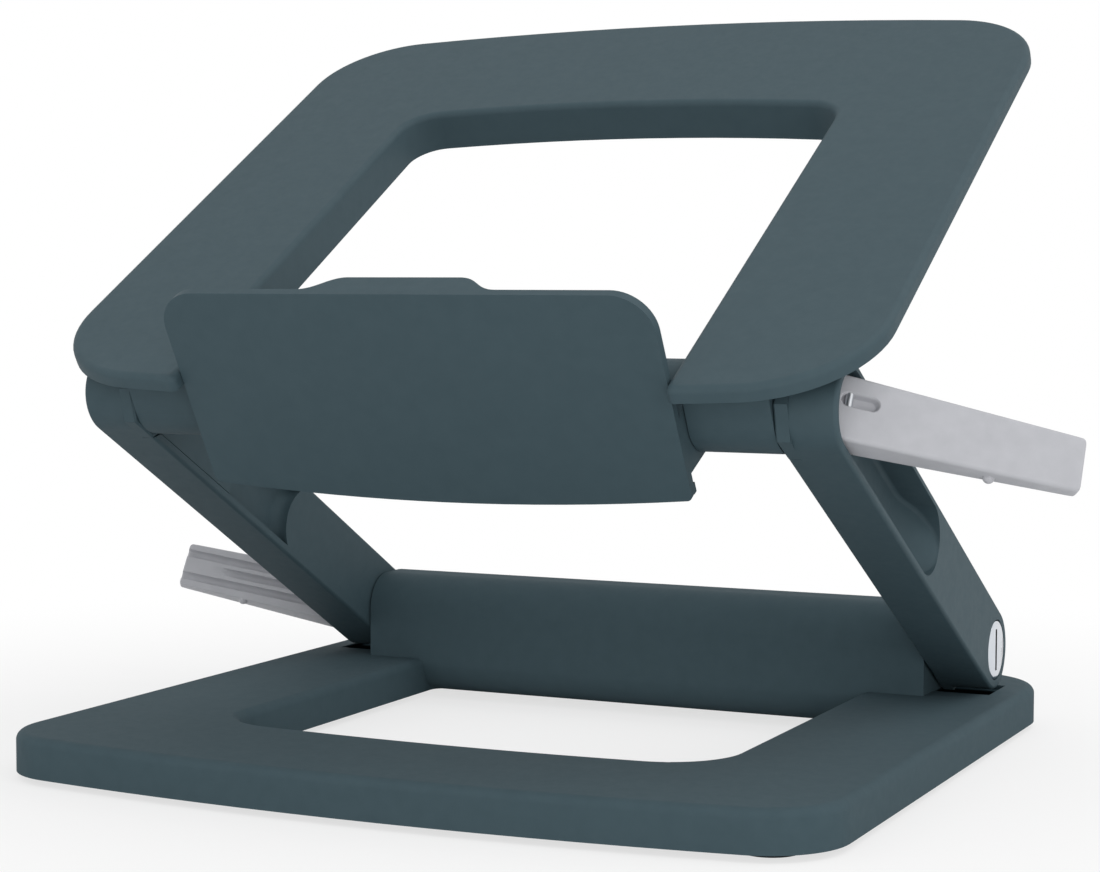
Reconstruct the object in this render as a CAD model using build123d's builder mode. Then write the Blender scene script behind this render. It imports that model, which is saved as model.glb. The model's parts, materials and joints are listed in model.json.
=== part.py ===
from build123d import *
import os
from math import cos, radians, sin

os.makedirs("parts", exist_ok=True)

# Adjustable laptop stand: a frame base with a hinge beam, two arms, a tray with an open
# front, a flap that stops the laptop, and two bars that swing out of the arms.
# Millimetres. +X to the right, +Y to the back, +Z up, origin on the table under the middle.

# Base
base_width = 280.0
base_depth = 270.0
base_front_bow = 11.7
base_thickness = 13.0
base_skin = 3.0
base_front_corner = 26.0
base_rear_corner = 30.0
base_edge_round = 3.0
base_rail_width = 52.8
base_front_rail_width = 57.4
base_opening_bow = 5.5
base_rear_rail_width = 51.0
base_opening_corner = 23.0
base_opening_rear_corner = 6.0

# Cover, feet and screws under the base
foot_height = 2.0
foot_radius = 9.5
foot_seat = 0.6
foot_inset_x = 20.5
foot_inset_y = 25.0
cover_thickness = 2.0
cover_inset = 5.0
cover_gap = 0.25
screw_radius = 1.5
screw_head_radius = 3.0
screw_head_height = 1.4
screw_length = 7.0
screw_boss_radius = 4.0
screw_side_inset = 26.0
screw_side_pitch = 62.0
screw_front_pitch = 110.0
screw_slot_width = 0.9
screw_slot_depth = 0.8
foot_edge = 0.5

# Hinge beam on the base
beam_end_inset = 30.0
pivot_setback = 10.9
beam_height = 30.8
beam_front_reach = 22.9
beam_front_round = 13.0
beam_foot_round = 12.0
beam_wall = 3.6
beam_end_wall = 10.0

# Arms
arm_angle = 29.2
arm_length = 190.3
arm_round = 14.0
arm_width = 19.0
arm_side_gap = 0.6
arm_edge_round = 1.2
arm_floor_clearance = 0.4
arm_trough_depth = 1.6
arm_trough_half = 11.0
arm_side_clearance = 0.6
bore_end_web = 1.3

# Pocket on the outer face that takes the bar, and pocket on the inner face
bar_pocket_half_width = 11.8
bar_pocket_reach = 105.0
bar_pocket_floor = 7.7
bar_pocket_scoop = 24.0
bar_scoop_radius = 30.0
bar_pocket_floor_round = 1.6
inner_pocket_half_width = 11.0
inner_pocket_depth = 5.4
inner_pocket_reach = 96.0
inner_pocket_floor_round = 4.0
hinge_cover_reach = 57.5
hinge_cover_gap = 0.25
hinge_cover_edge = 0.8

# Shafts, bushes, washers and caps
shaft_radius = 4.0
shaft_chamfer = 0.4
press_gap = 0.02
running_gap = 0.05
bush_radius = 6.5
bush_length = 9.0
washer_radius = 11.0
washer_gap = 0.05
cap_radius = 10.3
cap_thickness = 2.4
cap_rim_gap = 0.4
cap_slot_length = 13.0
cap_slot_width = 1.1
cap_slot_depth = 1.2
cap_slot_turn = 119.2
cap_edge_round = 0.5
plate_across_flats = 28.0
plate_sides = 8
plate_turn = 22.5
plate_thickness = 4.5
plate_seat_gap = 0.1
plate_edge = 0.6

# Tray
tray_angle = 29.85
tray_height = 21.1
tray_overhang = 0.5
tray_rear = 233.2
tray_rear_bow = 10.9
tray_front = 27.3
tray_front_bow = 8.6
tray_front_corner = 40.0
tray_rear_corner = 36.0
tray_skin = 3.2
tray_rim_height = 5.2
tray_rim_wall = 3.0
tray_edge_round = 2.2
tray_opening_rear = 165.4
tray_opening_bow = 5.7
tray_opening_corner = 12.5
tray_flange_height = 14.4
tray_flange_wall = 1.5
tray_leg_corner = 2.5
tray_flange_start = 0.0
knuckle_radius = 13.7
knuckle_gap = 0.3
knuckle_length = 26.9
knuckle_front = 13.0
knuckle_rear = 26.0

# Flap
flap_reach = 19.8
flap_thickness = 3.0
flap_top = 49.3
flap_bottom = 25.4
flap_bottom_bow = 4.5
flap_side_gap = 0.4
flap_top_corner = 13.0
flap_bottom_corner = 2.0
flap_barrel_radius = 13.9
flap_barrel_wall = 3.0
flap_fairing_drop = 13.0
flap_fairing_rise = 6.0
flap_hem_height = 4.0
flap_hem_depth = 1.8
flap_hem_inset = 0.4
flap_lip_root_half = 33.5
flap_lip_tip_half = 19.0
flap_lip_length = 10.2
flap_lip_curve = 1.2

# Bars
bar_swing = 61.0
bar_hinge_down = 2.0
bar_hinge_depth = 5.7
bar_length = 73.4
bar_outer = 5.3
bar_root_radius = 5.2
bar_tip_thickness = 3.6
bar_root_height = 21.0
bar_tip_height = 17.4
bar_corner = 2.0
bar_pin_radius = 1.75
bar_pin_seat = 1.2
bar_groove_width = 2.2
bar_groove_depth = 1.0
bar_groove_pitch = 5.6
bar_groove_start = 16.0
bar_groove_short_end = 12.0
bar_tip_groove_depth = 0.6
nub_radius = 2.2
nub_reach = 1.3
nub_distance = 46.0
nub_half_length = 1.5
nub_out = 2.6
catch_slot_start = 0.4
catch_slot_end = 11.4
catch_slot_radius = 1.9
catch_slot_depth = 2.6
catch_slot_rise = 2.6
catch_radius = 1.2
catch_distance = 2.8
catch_seat = 1.0

# Values worked out from those above
front_edge = -base_depth / 2
rear_edge = base_depth / 2
base_opening_front = front_edge + base_front_rail_width
base_opening_rear = rear_edge - base_rear_rail_width
base_bottom = foot_height
base_top = base_bottom + base_thickness
pivot_z = base_top + arm_floor_clearance + arm_round
pivot_y = base_opening_rear + pivot_setback
base_opening_half_width = base_width / 2 - base_rail_width
beam_half_length = base_width / 2 - beam_end_inset
arm_inner = beam_half_length + arm_side_gap
arm_outer = arm_inner + arm_width
knuckle_outer = arm_inner - knuckle_gap
tray_half_width = base_width / 2 + tray_overhang
tray_opening_half_width = knuckle_outer - knuckle_length
down = Vector(0, cos(radians(arm_angle)), -sin(radians(arm_angle)))
across = Vector(0, sin(radians(arm_angle)), cos(radians(arm_angle)))
side = Vector(1, 0, 0)
lower_pivot = Vector(0, pivot_y, pivot_z)
upper_pivot = lower_pivot - down * arm_length
bar_pocket_end_centre = bar_pocket_reach - bar_pocket_half_width
bar_pocket_scoop_start = bar_pocket_reach - bar_pocket_scoop
bar_hinge_x = bar_pocket_floor + bar_hinge_depth
bar_pin_half_length = bar_pocket_half_width + bar_pin_seat
bore_radius = shaft_radius + running_gap
seat_radius = shaft_radius + press_gap
bush_seat_radius = bush_radius + press_gap


def arc_through(half_width, middle, bow):
    """Bowed edge from -half_width to half_width: bow is how far its ends lie from its middle."""
    return ThreePointArc((-half_width, middle + bow), (0, middle), (half_width, middle + bow))


def save(part, label):
    """Label a finished piece and write it to its own file."""
    part.label = label
    export_step(part, f"parts/{label}.step")


# Outline of the base, and of the opening in its middle
with BuildSketch() as base_outline:
    with BuildLine():
        front_arc = arc_through(base_width / 2, front_edge, base_front_bow)
        Polyline(front_arc @ 1, (base_width / 2, rear_edge), (-base_width / 2, rear_edge), front_arc @ 0)
    make_face()
    fillet(base_outline.vertices().group_by(Axis.Y)[0], base_front_corner)
    fillet(base_outline.vertices().group_by(Axis.Y)[-1], base_rear_corner)

with BuildSketch() as base_opening:
    with BuildLine():
        opening_arc = arc_through(base_opening_half_width, base_opening_front, base_opening_bow)
        Polyline(
            opening_arc @ 1,
            (base_opening_half_width, base_opening_rear),
            (-base_opening_half_width, base_opening_rear),
            opening_arc @ 0,
        )
    make_face()
    fillet(base_opening.vertices().group_by(Axis.Y)[0], base_opening_corner)
    fillet(base_opening.vertices().group_by(Axis.Y)[-1], base_opening_rear_corner)

# Hollow under the base plate, and the seat of its cover
with BuildSketch() as base_hollow:
    add(offset(base_outline.sketch, -base_skin, mode=Mode.PRIVATE))
    add(offset(base_opening.sketch, base_skin, mode=Mode.PRIVATE), mode=Mode.SUBTRACT)

with BuildSketch() as cover_seat:
    add(offset(base_outline.sketch, -cover_inset, mode=Mode.PRIVATE))
    add(offset(base_opening.sketch, cover_inset, mode=Mode.PRIVATE), mode=Mode.SUBTRACT)

with BuildSketch() as cover_outline:
    add(offset(cover_seat.sketch, -cover_gap, mode=Mode.PRIVATE))

# Places of the feet and of the cover screws
foot_x = base_width / 2 - foot_inset_x
foot_y = base_depth / 2 - foot_inset_y
feet_places = {
    "foot_front_left": (-foot_x, -foot_y),
    "foot_front_right": (foot_x, -foot_y),
    "foot_rear_left": (-foot_x, foot_y),
    "foot_rear_right": (foot_x, foot_y),
}
screw_x = base_width / 2 - screw_side_inset
screw_front_y = (front_edge + base_opening_front) / 2
screw_rear_y = rear_edge - base_skin - 2 * screw_boss_radius
screw_places = [(x, y) for x in (-screw_x, screw_x) for y in (-screw_side_pitch / 2, screw_side_pitch / 2)]
screw_places += [(x, screw_front_y) for x in (-screw_front_pitch / 2, screw_front_pitch / 2)]
screw_places += [(x, screw_rear_y) for x in (-screw_front_pitch / 2, screw_front_pitch / 2)]

# Section of the hinge beam, in Y and Z: round at the back about the pivot, flat on top,
# upright in front and curved under to meet the opening
beam_top = base_top + beam_height
beam_rear_radius = beam_top - pivot_z
beam_front = pivot_y - beam_front_reach


def beam_section(inset):
    """Give the beam's section in Y and Z, drawn smaller by an inset all round."""
    top = beam_top - inset
    bottom = base_bottom + inset
    rear = pivot_y + beam_rear_radius - inset
    front = beam_front + inset
    round_front = beam_front_round - inset
    round_foot = beam_foot_round - inset
    with BuildSketch() as section:
        with BuildLine():
            Line((pivot_y, top), (front + round_front, top))
            RadiusArc((front + round_front, top), (front, top - round_front), -round_front)
            Line((front, top - round_front), (front, bottom + round_foot))
            RadiusArc((front, bottom + round_foot), (front + round_foot, bottom), -round_foot)
            Line((front + round_foot, bottom), (rear, bottom))
            Line((rear, bottom), (rear, pivot_z))
            RadiusArc((rear, pivot_z), (pivot_y, top), -(beam_rear_radius - inset))
        make_face()
    return section.sketch


# One moulding: plate with its opening, hollow under its skin, and the beam across its back
beam_plane = Plane(origin=(-beam_half_length, 0, 0), x_dir=(0, 1, 0), z_dir=(1, 0, 0))
trough_x = (arm_inner + arm_outer) / 2
with BuildPart() as base_frame:
    with BuildSketch(Plane.XY.offset(base_bottom)):
        add(base_outline.sketch)
        add(base_opening.sketch, mode=Mode.SUBTRACT)
    extrude(amount=base_thickness)
    fillet(base_frame.faces().sort_by(Axis.Z)[-1].edges(), base_edge_round)
    with BuildSketch(beam_plane):
        add(beam_section(0))
    extrude(amount=2 * beam_half_length)
    with BuildSketch(Plane.XY.offset(base_bottom)):
        add(base_hollow.sketch)
    extrude(amount=base_thickness - base_skin, mode=Mode.SUBTRACT)
    with BuildSketch(beam_plane.offset(beam_end_wall)):
        add(beam_section(beam_wall))
    extrude(amount=2 * (beam_half_length - beam_end_wall), mode=Mode.SUBTRACT)
    with BuildSketch(Plane.XY.offset(base_bottom + cover_thickness)):
        with Locations(*screw_places):
            Circle(screw_boss_radius)
    extrude(amount=base_thickness - base_skin - cover_thickness)
    with BuildSketch(Plane.XY.offset(base_bottom)):
        add(cover_seat.sketch)
    extrude(amount=cover_thickness, mode=Mode.SUBTRACT)
    with BuildSketch(Plane.XY.offset(base_bottom)):
        with Locations(*screw_places):
            Circle(screw_radius + press_gap)
    extrude(amount=cover_thickness + screw_length, mode=Mode.SUBTRACT)
    with BuildSketch(Plane.XY.offset(base_top - arm_trough_depth)):
        with Locations((-trough_x, pivot_y), (trough_x, pivot_y)):
            Rectangle(arm_width + 2 * arm_side_clearance, 2 * arm_trough_half)
    extrude(amount=arm_trough_depth, mode=Mode.SUBTRACT)
    with BuildSketch(beam_plane):
        with Locations((pivot_y, pivot_z)):
            Circle(bush_seat_radius)
    extrude(amount=2 * beam_half_length, mode=Mode.SUBTRACT)
save(base_frame.part, "base_frame")

# Cover plate under the base, seated flush in its rim
with BuildPart() as base_cover:
    with BuildSketch(Plane.XY.offset(base_bottom)):
        add(cover_outline.sketch)
    extrude(amount=cover_thickness)
    with BuildSketch(Plane.XY.offset(base_bottom)):
        with Locations(*feet_places.values()):
            Circle(foot_radius + press_gap)
    extrude(amount=foot_seat, mode=Mode.SUBTRACT)
    with BuildSketch(Plane.XY.offset(base_bottom)):
        with Locations(*screw_places):
            Circle(screw_head_radius + cover_gap)
    extrude(amount=screw_head_height, mode=Mode.SUBTRACT)
    with BuildSketch(Plane.XY.offset(base_bottom)):
        with Locations(*screw_places):
            Circle(screw_radius + cover_gap)
    extrude(amount=cover_thickness, mode=Mode.SUBTRACT)
save(base_cover.part, "base_cover")

# Cover screws, as one group
with BuildPart() as cover_screws:
    with BuildSketch(Plane.XY.offset(base_bottom)):
        with Locations(*screw_places):
            Circle(screw_head_radius)
    extrude(amount=screw_head_height)
    with BuildSketch(Plane.XY.offset(base_bottom + screw_head_height)):
        with Locations(*screw_places):
            Circle(screw_radius)
    extrude(amount=cover_thickness - screw_head_height + screw_length)
    with BuildSketch(Plane.XY.offset(base_bottom)):
        with Locations(*screw_places):
            Rectangle(2 * screw_radius, screw_slot_width)
            Rectangle(screw_slot_width, 2 * screw_radius)
    extrude(amount=screw_slot_depth, mode=Mode.SUBTRACT)
save(cover_screws.part, "cover_screws")

# Rubber feet
for name, place in feet_places.items():
    with BuildPart() as foot:
        with BuildSketch():
            with Locations(place):
                Circle(foot_radius)
        extrude(amount=foot_height + foot_seat)
        chamfer(foot.faces().sort_by(Axis.Z)[0].edges(), foot_edge)
    save(foot.part, name)

# Arm, drawn on the plane of its inner face with X down the arm from the upper pivot
arm_plane = Plane(origin=upper_pivot + side * arm_inner, x_dir=down, z_dir=side)
arm_section_plane = Plane(origin=arm_plane.origin, x_dir=down, z_dir=across)
bar_hinge = arm_plane.from_local_coords(Vector(bar_hinge_down, 0, bar_hinge_x))
cap_seat_depth = arm_width - cap_thickness
arm_middle = (lower_pivot + upper_pivot) * 0.5
turn_axis = Axis(arm_middle, across)
bore_end = bar_pocket_floor - bore_end_web

# Room for the bar in the arm's outer face: a slot whose far end scoops up to the face
with BuildPart() as bar_pocket:
    with BuildSketch(arm_plane.offset(bar_pocket_floor)):
        with Locations((bar_pocket_end_centre / 2, 0)):
            SlotCenterToCenter(bar_pocket_end_centre, 2 * bar_pocket_half_width)
    extrude(amount=arm_width)
    with BuildSketch(arm_section_plane):
        with BuildLine():
            Polyline(
                (bar_pocket_scoop_start, -bar_pocket_floor),
                (-arm_round, -bar_pocket_floor),
                (-arm_round, -2 * arm_width),
                (bar_pocket_reach, -2 * arm_width),
                (bar_pocket_reach, -arm_width),
            )
            RadiusArc(
                (bar_pocket_scoop_start, -bar_pocket_floor), (bar_pocket_reach, -arm_width), bar_scoop_radius
            )
        make_face()
    extrude(amount=arm_round, both=True, mode=Mode.INTERSECT)
    pocket_floor = bar_pocket.faces().sort_by(Axis.X)[0]
    pocket_scoop = bar_pocket.faces().filter_by(GeomType.CYLINDER).sort_by(Axis(arm_plane.origin, down))[-1]
    fillet(pocket_floor.edges() + pocket_scoop.edges(), bar_pocket_floor_round)

# Recess in the arm's inner face, from its lower hub to a bulged end
with BuildPart() as inner_pocket:
    with BuildSketch(arm_plane):
        with Locations((arm_length, 0)):
            Circle(inner_pocket_half_width)
        with Locations((arm_length, 0)):
            Rectangle(
                inner_pocket_reach + arm_round, 2 * inner_pocket_half_width, align=(Align.MAX, Align.CENTER)
            )
        with Locations((arm_length - inner_pocket_reach - arm_round, 0)):
            Circle(arm_round, mode=Mode.SUBTRACT)
    extrude(amount=inner_pocket_depth)
    floor = inner_pocket.faces().sort_by(Axis.X)[-1]
    fillet(floor.edges().sort_by(Axis(arm_plane.origin, down))[0:1], inner_pocket_floor_round)

with BuildPart() as right_arm:
    with BuildSketch(arm_plane):
        with Locations((arm_length / 2, 0)):
            SlotCenterToCenter(arm_length, 2 * arm_round)
    extrude(amount=arm_width)
    fillet(right_arm.faces().filter_by(Axis.X).edges(), arm_edge_round)
    add(bar_pocket.part, mode=Mode.SUBTRACT)
    add(inner_pocket.part, mode=Mode.SUBTRACT)
    with BuildSketch(arm_plane):
        with Locations((0, 0), (arm_length, 0)):
            RegularPolygon(
                plate_across_flats / 2 + plate_seat_gap, plate_sides, major_radius=False, rotation=plate_turn
            )
    extrude(amount=plate_thickness, mode=Mode.SUBTRACT)
    with BuildSketch(arm_plane):
        Circle(seat_radius)
    extrude(amount=bore_end, mode=Mode.SUBTRACT)
    with BuildSketch(arm_plane):
        with Locations((arm_length, 0)):
            Circle(seat_radius)
    extrude(amount=arm_width, mode=Mode.SUBTRACT)
    with BuildSketch(arm_plane.offset(cap_seat_depth)):
        with Locations((arm_length, 0)):
            Circle(cap_radius + cap_rim_gap)
    extrude(amount=cap_thickness, mode=Mode.SUBTRACT)
    with BuildSketch(Plane(origin=bar_hinge, x_dir=side, z_dir=across)):
        Circle(bar_pin_radius + press_gap)
    extrude(amount=bar_pin_half_length, both=True, mode=Mode.SUBTRACT)
save(right_arm.part, "right_arm")
save(right_arm.part.rotate(turn_axis, 180), "left_arm")

# Cover in the arm's inner recess, from the hinge plate to part of the way up
cover_half_width = inner_pocket_half_width - hinge_cover_gap
with BuildPart() as hinge_cover_right:
    with BuildSketch(arm_plane):
        with Locations((arm_length, 0)):
            Rectangle(hinge_cover_reach, 2 * cover_half_width, align=(Align.MAX, Align.CENTER))
            RegularPolygon(
                plate_across_flats / 2 + plate_seat_gap,
                plate_sides,
                major_radius=False,
                rotation=plate_turn,
                mode=Mode.SUBTRACT,
            )
    extrude(amount=inner_pocket_depth)
    cover_face = hinge_cover_right.faces().sort_by(Axis.X)[0]
    chamfer(cover_face.edges().sort_by(Axis(arm_plane.origin, down))[0:1], hinge_cover_edge)
save(hinge_cover_right.part, "hinge_cover_right")
save(hinge_cover_right.part.rotate(turn_axis, 180), "hinge_cover_left")

# Slotted chrome cap over the shaft's end
with BuildPart() as pivot_cap_right:
    with BuildSketch(arm_plane.offset(cap_seat_depth)):
        with Locations((arm_length, 0)):
            Circle(cap_radius)
    extrude(amount=cap_thickness)
    fillet(pivot_cap_right.faces().sort_by(Axis.X)[-1].edges(), cap_edge_round)
    with BuildSketch(arm_plane.offset(arm_width)):
        with Locations((arm_length, 0)):
            SlotOverall(cap_slot_length, cap_slot_width, rotation=cap_slot_turn)
    extrude(amount=-cap_slot_depth, mode=Mode.SUBTRACT)
save(pivot_cap_right.part, "pivot_cap_right")
save(pivot_cap_right.part.rotate(turn_axis, 180), "pivot_cap_left")

# Shaft at the foot of the arms: from the right arm's cap to the floor of the left arm's bore
with BuildPart() as lower_shaft:
    with BuildSketch(Plane(origin=lower_pivot - side * (arm_inner + bore_end), z_dir=side)):
        Circle(shaft_radius)
    extrude(amount=2 * arm_inner + bore_end + cap_seat_depth)
    chamfer(lower_shaft.edges().filter_by(GeomType.CIRCLE), shaft_chamfer)
save(lower_shaft.part, "lower_shaft")
save(lower_shaft.part.rotate(turn_axis, 180), "upper_shaft")

# Plain bushes in the beam's ends, the tray's knuckles and the flap's barrel, and the washers
flap_half_width = tray_opening_half_width - flap_side_gap
bush_places = {
    "beam_bush": (lower_pivot, beam_half_length - bush_length),
    "tray_bush": (upper_pivot, knuckle_outer - bush_length),
    "flap_bush": (upper_pivot, flap_half_width - bush_length),
}
for name, (centre, start) in bush_places.items():
    for hand, hand_x in (("left", -1), ("right", 1)):
        with BuildPart() as bush:
            with BuildSketch(Plane(origin=centre + side * hand_x * start, z_dir=side * hand_x)):
                Circle(bush_radius)
                Circle(bore_radius, mode=Mode.SUBTRACT)
            extrude(amount=bush_length)
        save(bush.part, f"{name}_{hand}")

for hand, hand_x in (("left", -1), ("right", 1)):
    with BuildPart() as washer:
        washer_place = lower_pivot + side * hand_x * (beam_half_length + washer_gap)
        with BuildSketch(Plane(origin=washer_place, z_dir=side * hand_x)):
            Circle(washer_radius)
            Circle(shaft_radius + washer_gap, mode=Mode.SUBTRACT)
        extrude(amount=arm_inner - beam_half_length - 2 * washer_gap)
    save(washer.part, f"beam_washer_{hand}")

# Faceted hinge plates, keyed into the arms' inner faces around the shafts
plate_places = {
    "beam_plate_left": (lower_pivot, -1),
    "beam_plate_right": (lower_pivot, 1),
    "tray_plate_left": (upper_pivot, -1),
    "tray_plate_right": (upper_pivot, 1),
}
for name, (centre, hand_x) in plate_places.items():
    with BuildPart() as hinge_plate:
        plate_plane = Plane(origin=centre + side * hand_x * arm_inner, x_dir=down, z_dir=side * hand_x)
        with BuildSketch(plate_plane):
            RegularPolygon(plate_across_flats / 2, plate_sides, major_radius=False, rotation=plate_turn)
            Circle(seat_radius, mode=Mode.SUBTRACT)
        extrude(amount=plate_thickness)
        inner_face = hinge_plate.faces().sort_by(Axis(centre, side * hand_x))[0]
        chamfer(inner_face.outer_wire().edges(), plate_edge)
    save(hinge_plate.part, name)

# Tray: U-shaped plate with a rim, a deep wall round its opening and a knuckle on each leg
tray_up = Vector(0, cos(radians(tray_angle)), sin(radians(tray_angle)))
tray_normal = Vector(0, -sin(radians(tray_angle)), cos(radians(tray_angle)))
tray_plane = Plane(origin=upper_pivot, x_dir=side, z_dir=tray_normal)
with BuildSketch() as tray_outline:
    with BuildLine():
        tray_front_arc = arc_through(tray_half_width, -tray_front, tray_front_bow)
        tray_rear_arc = arc_through(tray_half_width, tray_rear, -tray_rear_bow)
        Line(tray_front_arc @ 0, tray_rear_arc @ 0)
        Line(tray_front_arc @ 1, tray_rear_arc @ 1)
    make_face()
    fillet(tray_outline.vertices().group_by(Axis.Y)[0], tray_front_corner)
    fillet(tray_outline.vertices().group_by(Axis.Y)[-1], tray_rear_corner)

with BuildSketch() as tray_opening:
    with BuildLine():
        tray_opening_arc = arc_through(tray_opening_half_width, tray_opening_rear, -tray_opening_bow)
        Polyline(
            tray_opening_arc @ 0,
            (-tray_opening_half_width, -2 * tray_front),
            (tray_opening_half_width, -2 * tray_front),
            tray_opening_arc @ 1,
        )
    make_face()
    fillet(tray_opening.vertices().group_by(Axis.Y)[-1], tray_opening_corner)

with BuildSketch() as tray_u:
    add(tray_outline.sketch)
    add(tray_opening.sketch, mode=Mode.SUBTRACT)
    fillet(tray_u.vertices().group_by(Axis.Y)[0], tray_leg_corner)

with BuildSketch() as tray_hollow:
    add(offset(tray_u.sketch, -tray_rim_wall, mode=Mode.PRIVATE))

with BuildSketch() as tray_flange:
    add(offset(tray_opening.sketch, tray_flange_wall, mode=Mode.PRIVATE))
    add(tray_opening.sketch, mode=Mode.SUBTRACT)
    with Locations((0, tray_flange_start)):
        Rectangle(2 * tray_half_width, tray_rear, align=(Align.CENTER, Align.MIN), mode=Mode.INTERSECT)

with BuildPart() as tray_frame:
    with BuildSketch(tray_plane.offset(tray_height)):
        add(tray_u.sketch)
    extrude(amount=-tray_rim_height)
    fillet(tray_frame.faces().sort_by(Axis(upper_pivot, tray_normal))[-1].edges(), tray_edge_round)
    with BuildSketch(tray_plane.offset(tray_height - tray_skin)):
        add(tray_hollow.sketch)
    extrude(amount=-tray_rim_height, mode=Mode.SUBTRACT)
    with BuildSketch(tray_plane.offset(tray_height - tray_flange_height)):
        add(tray_flange.sketch)
    extrude(amount=tray_flange_height - tray_edge_round)
    for hand_x in (-1, 1):
        knuckle_middle = upper_pivot + side * hand_x * (tray_opening_half_width + knuckle_length / 2)
        with BuildSketch(Plane(origin=knuckle_middle, x_dir=tray_up, z_dir=side)):
            with BuildLine():
                CenterArc((0, 0), knuckle_radius, 0, 360)
                Line((-knuckle_front, tray_height - tray_skin), (knuckle_rear, tray_height - tray_skin))
            make_hull()
        extrude(amount=knuckle_length / 2, both=True)
        knuckle_start = upper_pivot + side * hand_x * tray_opening_half_width
        with BuildSketch(Plane(origin=knuckle_start, z_dir=side * hand_x)):
            Circle(bush_seat_radius)
        extrude(amount=knuckle_length, mode=Mode.SUBTRACT)
save(tray_frame.part, "tray_frame")

# Flap that stops the laptop: a plate square to the tray, on a barrel, with a lip bent back
flap_back = flap_reach - flap_thickness
flap_back_plane = Plane(origin=upper_pivot - tray_up * flap_back, x_dir=side, z_dir=-tray_up)
lip_plane = Plane(
    origin=upper_pivot - tray_up * flap_reach + tray_normal * flap_top, x_dir=side, z_dir=tray_normal
)
with BuildPart() as flap:
    with BuildSketch(flap_back_plane):
        with BuildLine():
            flap_arc = arc_through(flap_half_width, -flap_bottom, flap_bottom_bow)
            Polyline(
                flap_arc @ 1,
                (flap_half_width, flap_top),
                (-flap_half_width, flap_top),
                flap_arc @ 0,
            )
        make_face()
    extrude(amount=flap_thickness)
    fillet(flap.edges().filter_by(Axis(upper_pivot, tray_up)).group_by(Axis.Z)[-1], flap_top_corner)
    fillet(flap.edges().filter_by(Axis(upper_pivot, tray_up)).group_by(Axis.Z)[0], flap_bottom_corner)
    with BuildSketch(flap_back_plane):
        with BuildLine():
            Polyline(
                flap_arc @ 1,
                flap_arc @ 1 + (0, flap_hem_height),
                flap_arc @ 0 + (0, flap_hem_height),
                flap_arc @ 0,
            )
            arc_through(flap_half_width, -flap_bottom, flap_bottom_bow)
        make_face()
        offset(amount=-flap_hem_inset)
    extrude(amount=-flap_hem_depth)
    with BuildSketch(lip_plane):
        with BuildLine():
            Polyline(
                (-flap_lip_root_half, flap_thickness),
                (-flap_lip_root_half, 0),
                (flap_lip_root_half, 0),
                (flap_lip_root_half, flap_thickness),
            )
            Spline(
                (flap_lip_root_half, flap_thickness),
                (flap_lip_tip_half, flap_lip_length),
                tangents=((-1, 0), (-1, 0)),
                tangent_scalars=(flap_lip_curve, flap_lip_curve),
            )
            Line((flap_lip_tip_half, flap_lip_length), (-flap_lip_tip_half, flap_lip_length))
            Spline(
                (-flap_lip_tip_half, flap_lip_length),
                (-flap_lip_root_half, flap_thickness),
                tangents=((-1, 0), (-1, 0)),
                tangent_scalars=(flap_lip_curve, flap_lip_curve),
            )
        make_face()
    extrude(amount=-flap_thickness)
    with BuildSketch(Plane(origin=upper_pivot - side * flap_half_width, x_dir=tray_normal, z_dir=side)):
        with BuildLine():
            CenterArc((0, 0), flap_barrel_radius, 0, 360)
            Line((-flap_fairing_drop, flap_back), (flap_fairing_rise, flap_back))
        make_hull()
    extrude(amount=2 * flap_half_width)
    with BuildSketch(Plane(origin=upper_pivot - side * flap_half_width, z_dir=side)):
        Circle(bush_seat_radius)
    extrude(amount=2 * flap_half_width, mode=Mode.SUBTRACT)
    with BuildSketch(Plane(origin=upper_pivot, z_dir=side)):
        Circle(flap_barrel_radius - flap_barrel_wall)
    extrude(amount=flap_half_width - bush_length - flap_barrel_wall, both=True, mode=Mode.SUBTRACT)
save(flap.part, "flap")

# Bar, drawn on the plane across its hinge with X along the bar and Y into the arm
bar_way = down * cos(radians(bar_swing)) + side * sin(radians(bar_swing))
bar_plane = Plane(origin=bar_hinge, x_dir=bar_way, z_dir=across)
bar_out = bar_plane.y_dir * -1
bar_side_plane = Plane(origin=bar_hinge, x_dir=bar_way, z_dir=bar_out)
catch_half_length = catch_slot_radius + catch_seat
catch_out = bar_outer - catch_slot_depth + catch_radius
catch_plane = Plane(
    origin=bar_side_plane.from_local_coords(Vector(catch_distance, catch_slot_rise, catch_out)),
    x_dir=bar_way,
    z_dir=across,
)


def bar_inner_at(distance):
    """Height of the bar's tapered inner face on the bar plane, at a distance from the hinge."""
    return bar_root_radius + (bar_tip_thickness - bar_outer - bar_root_radius) * distance / bar_length


def bar_half_height_at(distance):
    """Half of the bar's height at a distance from the hinge."""
    share = (distance + bar_root_radius) / (bar_length + bar_root_radius)
    return (bar_root_height + (bar_tip_height - bar_root_height) * share) / 2


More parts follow.
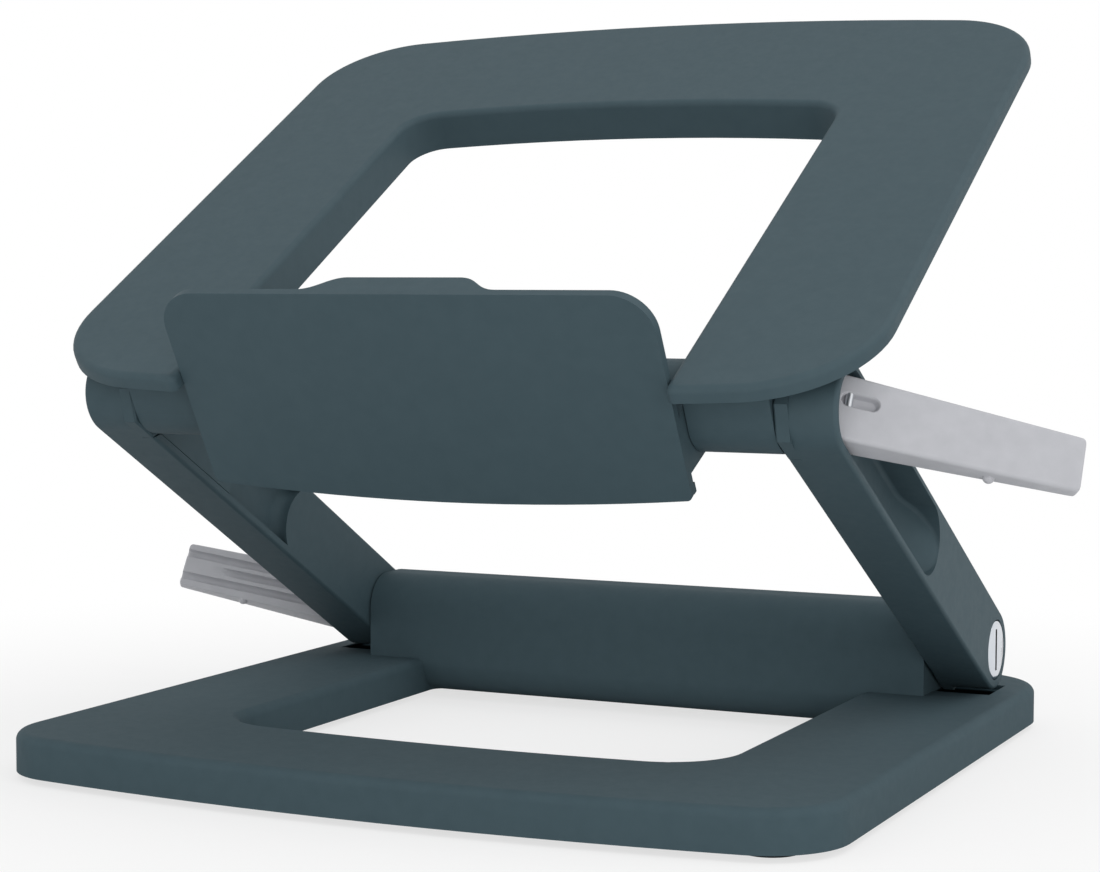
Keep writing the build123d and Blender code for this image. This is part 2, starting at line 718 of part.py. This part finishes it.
with BuildPart() as right_bar:
    with BuildSketch(bar_plane):
        Circle(bar_root_radius)
        with BuildLine():
            Polyline(
                (0, -bar_outer),
                (bar_length, -bar_outer),
                (bar_length, bar_tip_thickness - bar_outer),
                (0, bar_root_radius),
                (0, -bar_outer),
            )
        make_face()
    extrude(amount=bar_root_height / 2, both=True)
    with BuildSketch(bar_side_plane):
        with BuildLine():
            Polyline(
                (-bar_root_radius, -bar_root_height / 2),
                (bar_length, -bar_tip_height / 2),
                (bar_length, bar_tip_height / 2),
                (-bar_root_radius, bar_root_height / 2),
                (-bar_root_radius, -bar_root_height / 2),
            )
        make_face()
    extrude(amount=2 * bar_root_radius, both=True, mode=Mode.INTERSECT)
    with BuildSketch(bar_plane):
        Circle(bar_pin_radius + running_gap)
    extrude(amount=bar_root_height, both=True, mode=Mode.SUBTRACT)
    bar_corner_edges = right_bar.edges().filter_by(Axis(bar_hinge, bar_out))
    fillet(bar_corner_edges.group_by(Axis(bar_hinge, bar_way))[-1], bar_corner)
    for offset_across in (-bar_groove_pitch, 0, bar_groove_pitch):
        groove_start = bar_groove_start + (bar_groove_short_end if offset_across == 0 else 0)
        with BuildSketch(bar_plane.offset(offset_across - bar_groove_width / 2)):
            with BuildLine():
                Polyline(
                    (groove_start, bar_root_radius),
                    (bar_length, bar_root_radius),
                    (bar_length, bar_tip_thickness - bar_outer - bar_tip_groove_depth),
                    (groove_start, bar_inner_at(groove_start) - bar_groove_depth),
                    (groove_start, bar_root_radius),
                )
            make_face()
        extrude(amount=bar_groove_width, mode=Mode.SUBTRACT)
    with BuildSketch(bar_side_plane.offset(nub_out)):
        with Locations((nub_distance, -bar_half_height_at(nub_distance) - nub_reach + nub_radius)):
            Circle(nub_radius)
    extrude(amount=nub_half_length, both=True)
    with BuildSketch(bar_side_plane.offset(bar_outer)):
        with Locations(((catch_slot_start + catch_slot_end) / 2, catch_slot_rise)):
            SlotOverall(catch_slot_end - catch_slot_start, 2 * catch_slot_radius)
    extrude(amount=-catch_slot_depth, mode=Mode.SUBTRACT)
    with BuildSketch(catch_plane):
        Circle(catch_radius + press_gap)
    extrude(amount=catch_half_length, both=True, mode=Mode.SUBTRACT)
save(right_bar.part, "right_bar")
save(right_bar.part.rotate(turn_axis, 180), "left_bar")

# Hinge pin of the bar, held in the arm, and the small pin in the bar's slot
with BuildPart() as right_bar_pin:
    with BuildSketch(bar_plane):
        Circle(bar_pin_radius)
    extrude(amount=bar_pin_half_length, both=True)
save(right_bar_pin.part, "right_bar_pin")
save(right_bar_pin.part.rotate(turn_axis, 180), "left_bar_pin")

with BuildPart() as right_bar_catch:
    with BuildSketch(catch_plane):
        Circle(catch_radius)
    extrude(amount=catch_half_length, both=True)
save(right_bar_catch.part, "right_bar_catch")
save(right_bar_catch.part.rotate(turn_axis, 180), "left_bar_catch")
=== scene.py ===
import json
import math

import bmesh
import bpy
from mathutils import Matrix, Vector

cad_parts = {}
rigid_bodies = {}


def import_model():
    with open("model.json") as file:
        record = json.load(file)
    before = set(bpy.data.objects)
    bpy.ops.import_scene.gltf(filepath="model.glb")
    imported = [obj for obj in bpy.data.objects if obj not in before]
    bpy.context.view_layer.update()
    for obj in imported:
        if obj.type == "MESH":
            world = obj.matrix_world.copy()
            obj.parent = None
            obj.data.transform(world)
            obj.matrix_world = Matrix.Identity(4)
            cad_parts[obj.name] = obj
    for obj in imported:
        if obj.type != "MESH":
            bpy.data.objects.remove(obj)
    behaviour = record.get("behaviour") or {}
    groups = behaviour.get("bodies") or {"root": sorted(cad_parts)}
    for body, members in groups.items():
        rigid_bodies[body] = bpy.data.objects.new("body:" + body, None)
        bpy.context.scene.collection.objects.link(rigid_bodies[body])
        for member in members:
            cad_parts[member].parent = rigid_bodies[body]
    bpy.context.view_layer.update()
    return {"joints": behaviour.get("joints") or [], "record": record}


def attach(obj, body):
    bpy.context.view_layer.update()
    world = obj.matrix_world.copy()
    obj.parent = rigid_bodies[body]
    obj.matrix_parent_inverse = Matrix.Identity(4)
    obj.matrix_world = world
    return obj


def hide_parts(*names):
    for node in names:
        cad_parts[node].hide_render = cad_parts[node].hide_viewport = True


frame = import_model()

# Sizes of the bars and caps, in millimetres as in the part's source. The hinges' places are the frame's.

MM = 0.001
joints = {joint["name"]: joint for joint in frame["joints"]}
lower_pivot, upper_pivot, bar_hinge = (
    [value / MM for value in joints[name]["pos_m"]] for name in ("arms_tilt", "tray_tilt", "right_bar_swing")
)
bar_swing = joints["right_bar_swing"]["range_deg"][1]
arms_middle = Vector([(low + high) / 2 for low, high in zip(lower_pivot, upper_pivot)])
arm_angle = 29.2
arm_face = 129.6

bar_length = 73.4
bar_outer = 5.3
bar_root_radius = 5.2
bar_root_height = 21.0
bar_tip_height = 17.4
bar_tip_thickness = 4.6
bar_tip_round = 1.5
bar_end_round = 0.6
outer_edge_round = 1.2
inner_edge_round = 0.5
pin_bore_radius = 1.85

# The most that an outer round, an inner round and a groove may take of the bar's thickness
outer_round_share, inner_round_share, groove_share = 0.3, 0.2, 0.45

groove_pitch = 4.7
groove_half_width = 1.5
groove_depth_root = 2.8
groove_depth_tip = 1.8
groove_fade_in = (14.0, 24.0)
middle_groove_fade_out = (50.0, 62.0)
groove_squareness = 0.35

nub_radius = 1.8
nub_reach = 1.5
nub_along = 47.4
nub_out = 0.4

slot_span = (2.3, 9.6)
slot_rise = 2.6
# Pairs of a place along the bar's Y and the radius of the slot's ends there
slot_levels = ((5.6, 2.7), (5.3, 2.45), (5.05, 2.1), (4.6, 1.9), (3.4, 1.75), (2.9, 1.4), (2.7, 0.9))

# Pairs of a place along the row's X and the cap's radius there
cap_levels = ((127.25, 10.3), (129.1, 10.3), (129.35, 10.23), (129.53, 10.05), (129.6, 9.8))
cap_slot_width = 1.9
cap_slot_length = 14.6
cap_slot_depth = 1.3
cap_slot_margin = 0.1

smooth_up_to = math.radians(32)
bar_rows = 52
last_rows = (0.12, 0.02)
groove_columns = 96
bore_facets, dish_facets, cap_facets = 32, 36, 96

# Troughs in the base under the arms' feet, where shade is painted into the base's colour: extents in metres,
# each as start, full, full and end

trough_aside = (0.1088, 0.1096, 0.1304, 0.1312)
trough_along = (0.0830, 0.0838, 0.1062, 0.1070)
trough_level = (0.0120, 0.0125, 0.0142, 0.0150)
under_foot_shadow_along = (0.0850, 0.0900, 0.1000, 0.1045)
# Painted shade: a darker slate on the troughs' floor, and a painted black shadow under the arms' feet
trough_painted_shade, under_foot_painted_shadow = (54, 71, 78), (10, 14, 16)


# Noise that all materials share: scales per metre, and the middle range of its values

colour_drift_scale = 180.0
rough_drift_scale = 420.0
noise_middle = (0.3, 0.7)
grain_strength = 0.25


# Shader helpers

def linear(colour):
    """Turn an sRGB colour of 0 to 255 into the linear colour that a shader takes."""
    shares = [value / 255 for value in colour]
    return tuple(s / 12.92 if s <= 0.04045 else ((s + 0.055) / 1.055) ** 2.4 for s in shares) + (1.0,)


def noise(tree, coords, scale, detail, roughness=0.5):
    """Add a noise texture on object coordinates."""
    node = tree.nodes.new("ShaderNodeTexNoise")
    node.inputs["Scale"].default_value = scale
    node.inputs["Detail"].default_value = detail
    node.inputs["Roughness"].default_value = roughness
    tree.links.new(coords, node.inputs["Vector"])
    return node.outputs["Fac"]


def ramp(tree, value, start, end, low=0.0, high=1.0, smooth=True):
    """Map a value from start to end onto low to high."""
    node = tree.nodes.new("ShaderNodeMapRange")
    node.interpolation_type = "SMOOTHSTEP" if smooth else "LINEAR"
    node.inputs["From Min"].default_value = start
    node.inputs["From Max"].default_value = end
    node.inputs["To Min"].default_value = low
    node.inputs["To Max"].default_value = high
    tree.links.new(value, node.inputs["Value"])
    return node.outputs["Result"]


def spread(tree, value, low, high):
    """Map a noise value from its middle range onto low to high."""
    return ramp(tree, value, *noise_middle, low, high, smooth=False)


def times(tree, first, second):
    """Multiply two values, or a value by a number."""
    node = tree.nodes.new("ShaderNodeMath")
    node.operation = "MULTIPLY"
    tree.links.new(first, node.inputs[0])
    if isinstance(second, float):
        node.inputs[1].default_value = second
    else:
        tree.links.new(second, node.inputs[1])
    return node.outputs[0]


def band(tree, value, extent):
    """Give 1 where a value lies within an extent of start, full, full and end, and 0 outside it."""
    start, full, full_end, end = extent
    return times(tree, ramp(tree, value, start, full), ramp(tree, value, end, full_end))


def moulded(name, dark, light, rough, grain_scale, grain_depth, metallic=0.0, gloss=0.5):
    """Make a material whose colour and roughness drift a little, over a fine grain."""
    material = bpy.data.materials.new(name)
    material.use_nodes = True
    tree = material.node_tree
    shader = tree.nodes["Principled BSDF"]
    coords = tree.nodes.new("ShaderNodeTexCoord").outputs["Object"]
    mix = tree.nodes.new("ShaderNodeMix")
    mix.data_type = "RGBA"
    mix.inputs["A"].default_value = linear(dark)
    mix.inputs["B"].default_value = linear(light)
    colour_drift = noise(tree, coords, colour_drift_scale, 4.0)
    tree.links.new(spread(tree, colour_drift, 0.0, 1.0), mix.inputs["Factor"])
    tree.links.new(mix.outputs["Result"], shader.inputs["Base Color"])
    rough_drift = noise(tree, coords, rough_drift_scale, 3.0)
    tree.links.new(spread(tree, rough_drift, *rough), shader.inputs["Roughness"])
    shader.inputs["Metallic"].default_value = metallic
    shader.inputs["Specular IOR Level"].default_value = gloss
    bump = tree.nodes.new("ShaderNodeBump")
    bump.inputs["Strength"].default_value = grain_strength
    bump.inputs["Distance"].default_value = grain_depth
    tree.links.new(noise(tree, coords, grain_scale, 2.0, 0.6), bump.inputs["Height"])
    tree.links.new(bump.outputs["Normal"], shader.inputs["Normal"])
    return material


def paint_trough_shade(material):
    """Paint shade into the base's two troughs: their floor matt and a darker slate, with a painted black
    shadow under the arms' feet.
    """
    tree = material.node_tree
    place = tree.nodes.new("ShaderNodeSeparateXYZ")
    tree.links.new(tree.nodes.new("ShaderNodeTexCoord").outputs["Object"], place.inputs[0])
    aside = tree.nodes.new("ShaderNodeMath")
    aside.operation = "ABSOLUTE"
    tree.links.new(place.outputs["X"], aside.inputs[0])
    inside = band(tree, aside.outputs[0], trough_aside)
    inside = times(tree, inside, band(tree, place.outputs["Y"], trough_along))
    inside = times(tree, inside, band(tree, place.outputs["Z"], trough_level))
    # Painted shade: darker slate across the troughs, turning to a painted black shadow under the feet
    painted_shade_mix = tree.nodes.new("ShaderNodeMix")
    painted_shade_mix.data_type = "RGBA"
    painted_shade_mix.inputs["A"].default_value = linear(trough_painted_shade)
    painted_shade_mix.inputs["B"].default_value = linear(under_foot_painted_shadow)
    tree.links.new(band(tree, place.outputs["Y"], under_foot_shadow_along), painted_shade_mix.inputs["Factor"])
    matt = tree.nodes.new("ShaderNodeBsdfPrincipled")
    matt.inputs["Roughness"].default_value = 1.0
    matt.inputs["Specular IOR Level"].default_value = 0.0
    tree.links.new(painted_shade_mix.outputs["Result"], matt.inputs["Base Color"])
    pick = tree.nodes.new("ShaderNodeMixShader")
    tree.links.new(inside, pick.inputs[0])
    tree.links.new(tree.nodes["Principled BSDF"].outputs[0], pick.inputs[1])
    tree.links.new(matt.outputs[0], pick.inputs[2])
    tree.links.new(pick.outputs[0], tree.nodes["Material Output"].inputs["Surface"])


# Materials

slate_colours = (62, 80, 87), (65, 83, 90)
slate_grain = {"grain_scale": 2600.0, "grain_depth": 0.00004, "gloss": 0.2}
metal_grain = {"grain_depth": 0.00001, "metallic": 1.0}

slate = moulded("slate_plastic", *slate_colours, (0.58, 0.64), **slate_grain)
base_slate = moulded("base_slate_plastic", *slate_colours, (0.76, 0.82), **slate_grain)
light_grey = moulded(
    "light_plastic", (176, 177, 182), (182, 183, 188), (0.40, 0.50), 2600.0, 0.00003, gloss=0.3
)
catch_steel = moulded("catch_steel", (214, 217, 221), (224, 227, 231), (0.34, 0.44), 900.0, **metal_grain)
chrome = moulded("cap_chrome", (222, 228, 236), (230, 236, 243), (0.07, 0.14), 900.0, **metal_grain)
steel = moulded("shaft_steel", (176, 178, 181), (190, 192, 195), (0.22, 0.34), 1200.0, **metal_grain)
dark_steel = moulded("dark_steel", (64, 65, 68), (76, 77, 80), (0.30, 0.42), 1200.0, **metal_grain)
rubber = moulded("foot_rubber", (24, 24, 25), (31, 31, 32), (0.65, 0.80), 1500.0, 0.00006)
bush_black = moulded("bush_plastic", (26, 27, 29), (33, 34, 36), (0.45, 0.60), 1500.0, 0.00003)
# Paint shade into the base's troughs, with a painted black shadow under the arms' feet
paint_trough_shade(base_slate)

by_slot = {
    "slate_plastic": slate,
    "light_plastic": light_grey,
    "cap_chrome": chrome,
    "foot_rubber": rubber,
    "shaft_steel": steel,
    "dark_steel": dark_steel,
    "bush_plastic": bush_black,
}
by_node = {"base_frame": base_slate, "right_bar_catch": catch_steel, "left_bar_catch": catch_steel}
for part in frame["record"]["subparts"]:
    for slot in bpy.data.objects[part["node"]].material_slots:
        slot.material = by_node.get(part["node"], by_slot[part["material_slot"]])


# Mesh helpers

def circle(radius, count):
    """Give the points of a circle round the origin."""
    turns = [2 * math.pi * (index + 0.5) / count for index in range(count)]
    return [(radius * math.cos(turn), radius * math.sin(turn)) for turn in turns]


def corner_arc(rise, out, radius, start):
    """Give the points of a quarter circle from an angle in degrees."""
    turns = [math.radians(start + turn) for turn in range(0, 91, 15)]
    return [(rise + radius * math.cos(turn), out + radius * math.sin(turn)) for turn in turns]


def new_piece(name, form):
    """Turn a bmesh into an object of the scene."""
    mesh = bpy.data.meshes.new(name)
    form.to_mesh(mesh)
    form.free()
    piece = bpy.data.objects.new(name, mesh)
    bpy.context.scene.collection.objects.link(piece)
    return piece


def loft(name, outlines):
    """Make a closed mesh through a list of outlines with equal counts of points."""
    form = bmesh.new()
    rings = [[form.verts.new(point) for point in outline] for outline in outlines]
    for first, second in zip(rings, rings[1:]):
        for index in range(len(first)):
            after = (index + 1) % len(first)
            form.faces.new((first[index], first[after], second[after], second[index]))
    form.faces.new(rings[0][::-1])
    form.faces.new(rings[-1])
    bmesh.ops.recalc_face_normals(form, faces=form.faces)
    return new_piece(name, form)


def combine(piece, tool, operation):
    """Cut a tool out of a piece, or join it on, and delete the tool."""
    modifier = piece.modifiers.new(operation.lower(), "BOOLEAN")
    modifier.operation = operation
    modifier.object = tool
    modifier.solver = "EXACT"
    bpy.context.view_layer.objects.active = piece
    bpy.ops.object.modifier_apply(modifier=modifier.name)
    bpy.data.objects.remove(tool)


def shade_smooth(piece):
    """Shade a piece smoothly, up to its sharp edges."""
    bpy.context.view_layer.objects.active = piece
    piece.select_set(True)
    bpy.ops.object.shade_smooth_by_angle(angle=smooth_up_to)
    piece.select_set(False)


def copy_turned(piece, name, turn):
    """Copy a piece under a new name, moved by a matrix."""
    copy = bpy.data.objects.new(name, piece.data.copy())
    bpy.context.scene.collection.objects.link(copy)
    copy.data.transform(turn)
    return copy


down = Vector((0.0, math.cos(math.radians(arm_angle)), -math.sin(math.radians(arm_angle))))
across = Vector((0.0, -down.z, down.y))
to_middle = Matrix.Translation(arms_middle * MM)
half_turn = to_middle @ Matrix.Rotation(math.pi, 4, across) @ to_middle.inverted()


# Bars: one moulding used twice, with soft edges, three grooves, a round nub and a dished slot.
# A bar's own frame has X along it from its hinge, Y out of the arm and Z across, in millimetres.

def smooth_step(low, high, value):
    """Rise smoothly from 0 at low to 1 at high."""
    share = min(max((value - low) / (high - low), 0.0), 1.0)
    return share * share * (3 - 2 * share)


def bar_half_height(along):
    """Half of the bar's height at a distance from its hinge."""
    share = (along + bar_root_radius) / (bar_length + bar_root_radius)
    return (bar_root_height + (bar_tip_height - bar_root_height) * share) / 2


def bar_inner(along):
    """How far the bar's inner face lies from the hinge line, towards the arm."""
    return bar_root_radius + (bar_tip_thickness - bar_outer - bar_root_radius) * along / bar_length


def groove_depth(along, rise):
    """Depth of the grooves in the bar's inner face, of which the middle one runs out before the tip."""
    depth = groove_depth_root + (groove_depth_tip - groove_depth_root) * max(along, 0.0) / bar_length
    depth *= smooth_step(*groove_fade_in, along)
    for centre in (-groove_pitch, 0.0, groove_pitch):
        offset = abs(rise - centre) / groove_half_width
        if offset < 1:
            kept = 1 - smooth_step(*middle_groove_fade_out, along) if centre == 0 else 1.0
            return depth * kept * (1 - offset * offset) ** groove_squareness
    return 0.0


def rounded_off(along, rounding):
    """How much the bar has lost near its tip to a round of that radius."""
    past = max(along - (bar_length - rounding), 0.0) / rounding
    return rounding * (1 - math.sqrt(max(1 - past * past, 0.0)))


def bar_section(along):
    """Give the bar's outline at a distance from its hinge."""
    half = bar_half_height(min(along, bar_length)) - rounded_off(along, bar_tip_round)
    if along < 0:
        inner = math.sqrt(max(bar_root_radius ** 2 - along ** 2, 0.0))
        outer = inner * bar_outer / bar_root_radius
    else:
        outer = bar_outer
        inner = bar_inner(along)
    outer -= rounded_off(along, bar_end_round)
    inner -= rounded_off(along, bar_end_round)
    thick = outer + inner
    top = min(outer_edge_round, thick * outer_round_share)
    low = min(inner_edge_round, thick * inner_round_share)
    points = corner_arc(half - top, outer - top, top, 0)
    points += corner_arc(-half + top, outer - top, top, 90)
    points += corner_arc(-half + low, -inner + low, low, 180)
    for column in range(1, groove_columns):
        rise = (-half + low) + (2 * half - 2 * low) * column / groove_columns
        points.append((rise, -inner + min(groove_depth(along, rise), thick * groove_share)))
    points += corner_arc(half - low, -inner + low, low, 270)
    return [(along, out, rise) for rise, out in points]


def bar_form():
    """Make the bar in its own frame."""
    stations = [-bar_root_radius * math.cos(math.radians(turn)) for turn in range(6, 90, 7)]
    stations += [bar_length * step / bar_rows for step in range(bar_rows - 1)]
    tip_turns = [math.sin(math.radians(turn)) for turn in range(15, 90, 15)]
    stations += [bar_length - bar_tip_round * (1 - turn) for turn in tip_turns]
    stations += [bar_length - row for row in last_rows]
    bar = loft("right_bar_form", [bar_section(along) for along in sorted(set(stations))])

    bore = loft("bore", [
        [(x, out, end) for x, out in circle(pin_bore_radius, bore_facets)]
        for end in (-bar_root_height, bar_root_height)
    ])
    combine(bar, bore, "DIFFERENCE")

    first, last = slot_span
    dish = loft("dish", [
        [((last if x > 0 else first) + x, out, slot_rise + z) for x, z in circle(radius, dish_facets)]
        for out, radius in slot_levels
    ])
    combine(bar, dish, "DIFFERENCE")

    ball = bmesh.new()
    bmesh.ops.create_icosphere(ball, subdivisions=4, radius=nub_radius)
    nub_rise = -bar_half_height(nub_along) - nub_reach + nub_radius
    bmesh.ops.translate(ball, verts=ball.verts, vec=(nub_along, nub_out, nub_rise))
    combine(bar, new_piece("nub", ball), "UNION")
    return bar


right_bar = bar_form()
right_bar.data.materials.append(light_grey)
bar_way = down * math.cos(math.radians(bar_swing)) + Vector((math.sin(math.radians(bar_swing)), 0.0, 0.0))
bar_to_row = Matrix((bar_way, bar_way.cross(across), across)).transposed().to_4x4()
bar_to_row.translation = Vector(bar_hinge)
right_bar.data.transform(Matrix.Scale(MM, 4) @ bar_to_row)
left_bar = copy_turned(right_bar, "left_bar_form", half_turn)
for bar, node in ((right_bar, "right_bar"), (left_bar, "left_bar")):
    shade_smooth(bar)
    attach(bar, node)
    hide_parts(node)


# Pivot caps: discs with a round rim and a slot for a driver, dark inside

def cap_form():
    """Make the right cap in the row frame, in metres."""
    middle_y, middle_z = lower_pivot[1:]
    cap = loft("pivot_cap_right_form", [
        [(x * MM, (middle_y + y) * MM, (middle_z + z) * MM) for y, z in circle(radius, cap_facets)]
        for x, radius in cap_levels
    ])
    corners = ((-1, -1), (1, -1), (1, 1), (-1, 1))
    cutter = loft("cap_cutter", [
        [
            (x * MM, (middle_y + cap_slot_width / 2 * y) * MM, (middle_z + cap_slot_length / 2 * z) * MM)
            for y, z in corners
        ]
        for x in (arm_face - cap_slot_depth, arm_face + cap_slot_depth)
    ])
    combine(cap, cutter, "DIFFERENCE")
    return cap


def in_cap_slot(point):
    """Say whether a point of the right cap's surface lies inside its slot."""
    x, y, z = point / MM
    return (
        arm_face - cap_slot_depth - cap_slot_margin < x < arm_face - cap_slot_margin
        and abs(y - lower_pivot[1]) < cap_slot_width / 2 + cap_slot_margin
        and abs(z - lower_pivot[2]) < cap_slot_length / 2 + cap_slot_margin
    )


right_cap = cap_form()
right_cap.data.materials.append(chrome)
right_cap.data.materials.append(bush_black)
for face in right_cap.data.polygons:
    face.material_index = 1 if in_cap_slot(face.center) else 0
left_cap = copy_turned(right_cap, "pivot_cap_left_form", half_turn)
for cap, node in ((right_cap, "pivot_cap_right"), (left_cap, "pivot_cap_left")):
    shade_smooth(cap)
    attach(cap, "arms")
    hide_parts(node)


# Floor: lit and shadowed paper that fades into the white backdrop away from the object

def seen_directly(tree, reflected):
    """Give 1 for what the camera or a clear surface sees, a share for reflections, and 0 for other light."""
    paths = tree.nodes.new("ShaderNodeLightPath")
    value = paths.outputs["Is Camera Ray"]
    for ray, share in (("Is Glossy Ray", reflected), ("Is Transmission Ray", 1.0)):
        brighter = tree.nodes.new("ShaderNodeMath")
        brighter.operation = "MAXIMUM"
        tree.links.new(value, brighter.inputs[0])
        tree.links.new(times(tree, paths.outputs[ray], share), brighter.inputs[1])
        value = brighter.outputs[0]
    return value


white = (1.0, 1.0, 1.0, 1.0)
floor_size = 12.0
floor_drop = 0.0002
fade_start, fade_end, fade_least = 0.16, 0.46, 0.7

floor_paint = bpy.data.materials.new("studio_floor_paint")
floor_paint.use_nodes = True
tree = floor_paint.node_tree
paper = tree.nodes["Principled BSDF"]
paper.inputs["Base Color"].default_value = (0.86, 0.86, 0.86, 1.0)
paper.inputs["Roughness"].default_value = 0.9
paper.inputs["Specular IOR Level"].default_value = 0.2
distance = tree.nodes.new("ShaderNodeVectorMath")
distance.operation = "LENGTH"
tree.links.new(tree.nodes.new("ShaderNodeTexCoord").outputs["Object"], distance.inputs[0])
fade = ramp(tree, distance.outputs["Value"], fade_start, fade_end, low=fade_least)
bright = tree.nodes.new("ShaderNodeEmission")
bright.inputs["Color"].default_value = white
blend = tree.nodes.new("ShaderNodeMixShader")
tree.links.new(times(tree, seen_directly(tree, 0.0), fade), blend.inputs[0])
tree.links.new(paper.outputs[0], blend.inputs[1])
tree.links.new(bright.outputs[0], blend.inputs[2])
tree.links.new(blend.outputs[0], tree.nodes["Material Output"].inputs["Surface"])

bpy.ops.mesh.primitive_plane_add(size=floor_size)
floor = bpy.context.object
floor.name = "studio_floor"
floor.location.z = -floor_drop
floor.data.materials.append(floor_paint)


# World: even light, seen as a white backdrop

ambient_strength = 0.76
backdrop_in_reflections = 0.4

world = bpy.data.worlds.new("studio")
bpy.context.scene.world = world
world.use_nodes = True
tree = world.node_tree
ambient = tree.nodes["Background"]
ambient.inputs["Color"].default_value = white
ambient.inputs["Strength"].default_value = ambient_strength
backdrop = tree.nodes.new("ShaderNodeBackground")
backdrop.inputs["Color"].default_value = white
backdrop.inputs["Strength"].default_value = 1.0
either = tree.nodes.new("ShaderNodeMixShader")
tree.links.new(seen_directly(tree, backdrop_in_reflections), either.inputs[0])
tree.links.new(ambient.outputs[0], either.inputs[1])
tree.links.new(backdrop.outputs[0], either.inputs[2])
tree.links.new(either.outputs[0], tree.nodes["World Output"].inputs["Surface"])


# Lamps

def softbox(name, place, aim, width, height, power):
    """Add an area lamp that shines from place towards aim."""
    data = bpy.data.lights.new(name, "AREA")
    data.shape = "RECTANGLE"
    data.size = width
    data.size_y = height
    data.energy = power
    lamp = bpy.data.objects.new(name, data)
    bpy.context.scene.collection.objects.link(lamp)
    lamp.location = place
    lamp.rotation_euler = (Vector(aim) - Vector(place)).to_track_quat("-Z", "Y").to_euler()


middle = (0.0, 0.0, 0.11)
low_middle = (0.0, 0.0, 0.06)
softbox("softbox_top", (0.75, 0.15, 1.3), middle, 1.1, 1.1, 4.8)
softbox("softbox_low", (0.35, -1.1, 0.14), low_middle, 0.9, 0.2, 1.5)
softbox("softbox_front", (0.75, -0.6, 0.3), middle, 0.5, 0.5, 0.9)
softbox("softbox_left", (-1.2, -0.5, 0.5), low_middle, 0.8, 0.8, 0.5)


# Camera at the photograph's view

camera_place = Vector((0.35158, -0.75351, 0.15952))
camera_aim = Vector((-0.00011, 0.0, 0.10677))
camera_roll = math.radians(0.09)
focal_in_pixels = 2461.44
frame_width = 1100.0
sensor_width = 36.0

camera_data = bpy.data.cameras.new("photo_camera")
camera_data.sensor_fit = "HORIZONTAL"
camera_data.sensor_width = sensor_width
camera_data.lens = focal_in_pixels * sensor_width / frame_width
camera_data.clip_start = 0.01
camera = bpy.data.objects.new("photo_camera", camera_data)
bpy.context.scene.collection.objects.link(camera)
camera.location = camera_place
camera.rotation_euler = (camera_aim - camera_place).to_track_quat("-Z", "Y").to_euler()
camera.rotation_euler.rotate_axis("Z", camera_roll)
bpy.context.scene.camera = camera
bpy.context.scene.view_settings.view_transform = "Standard"
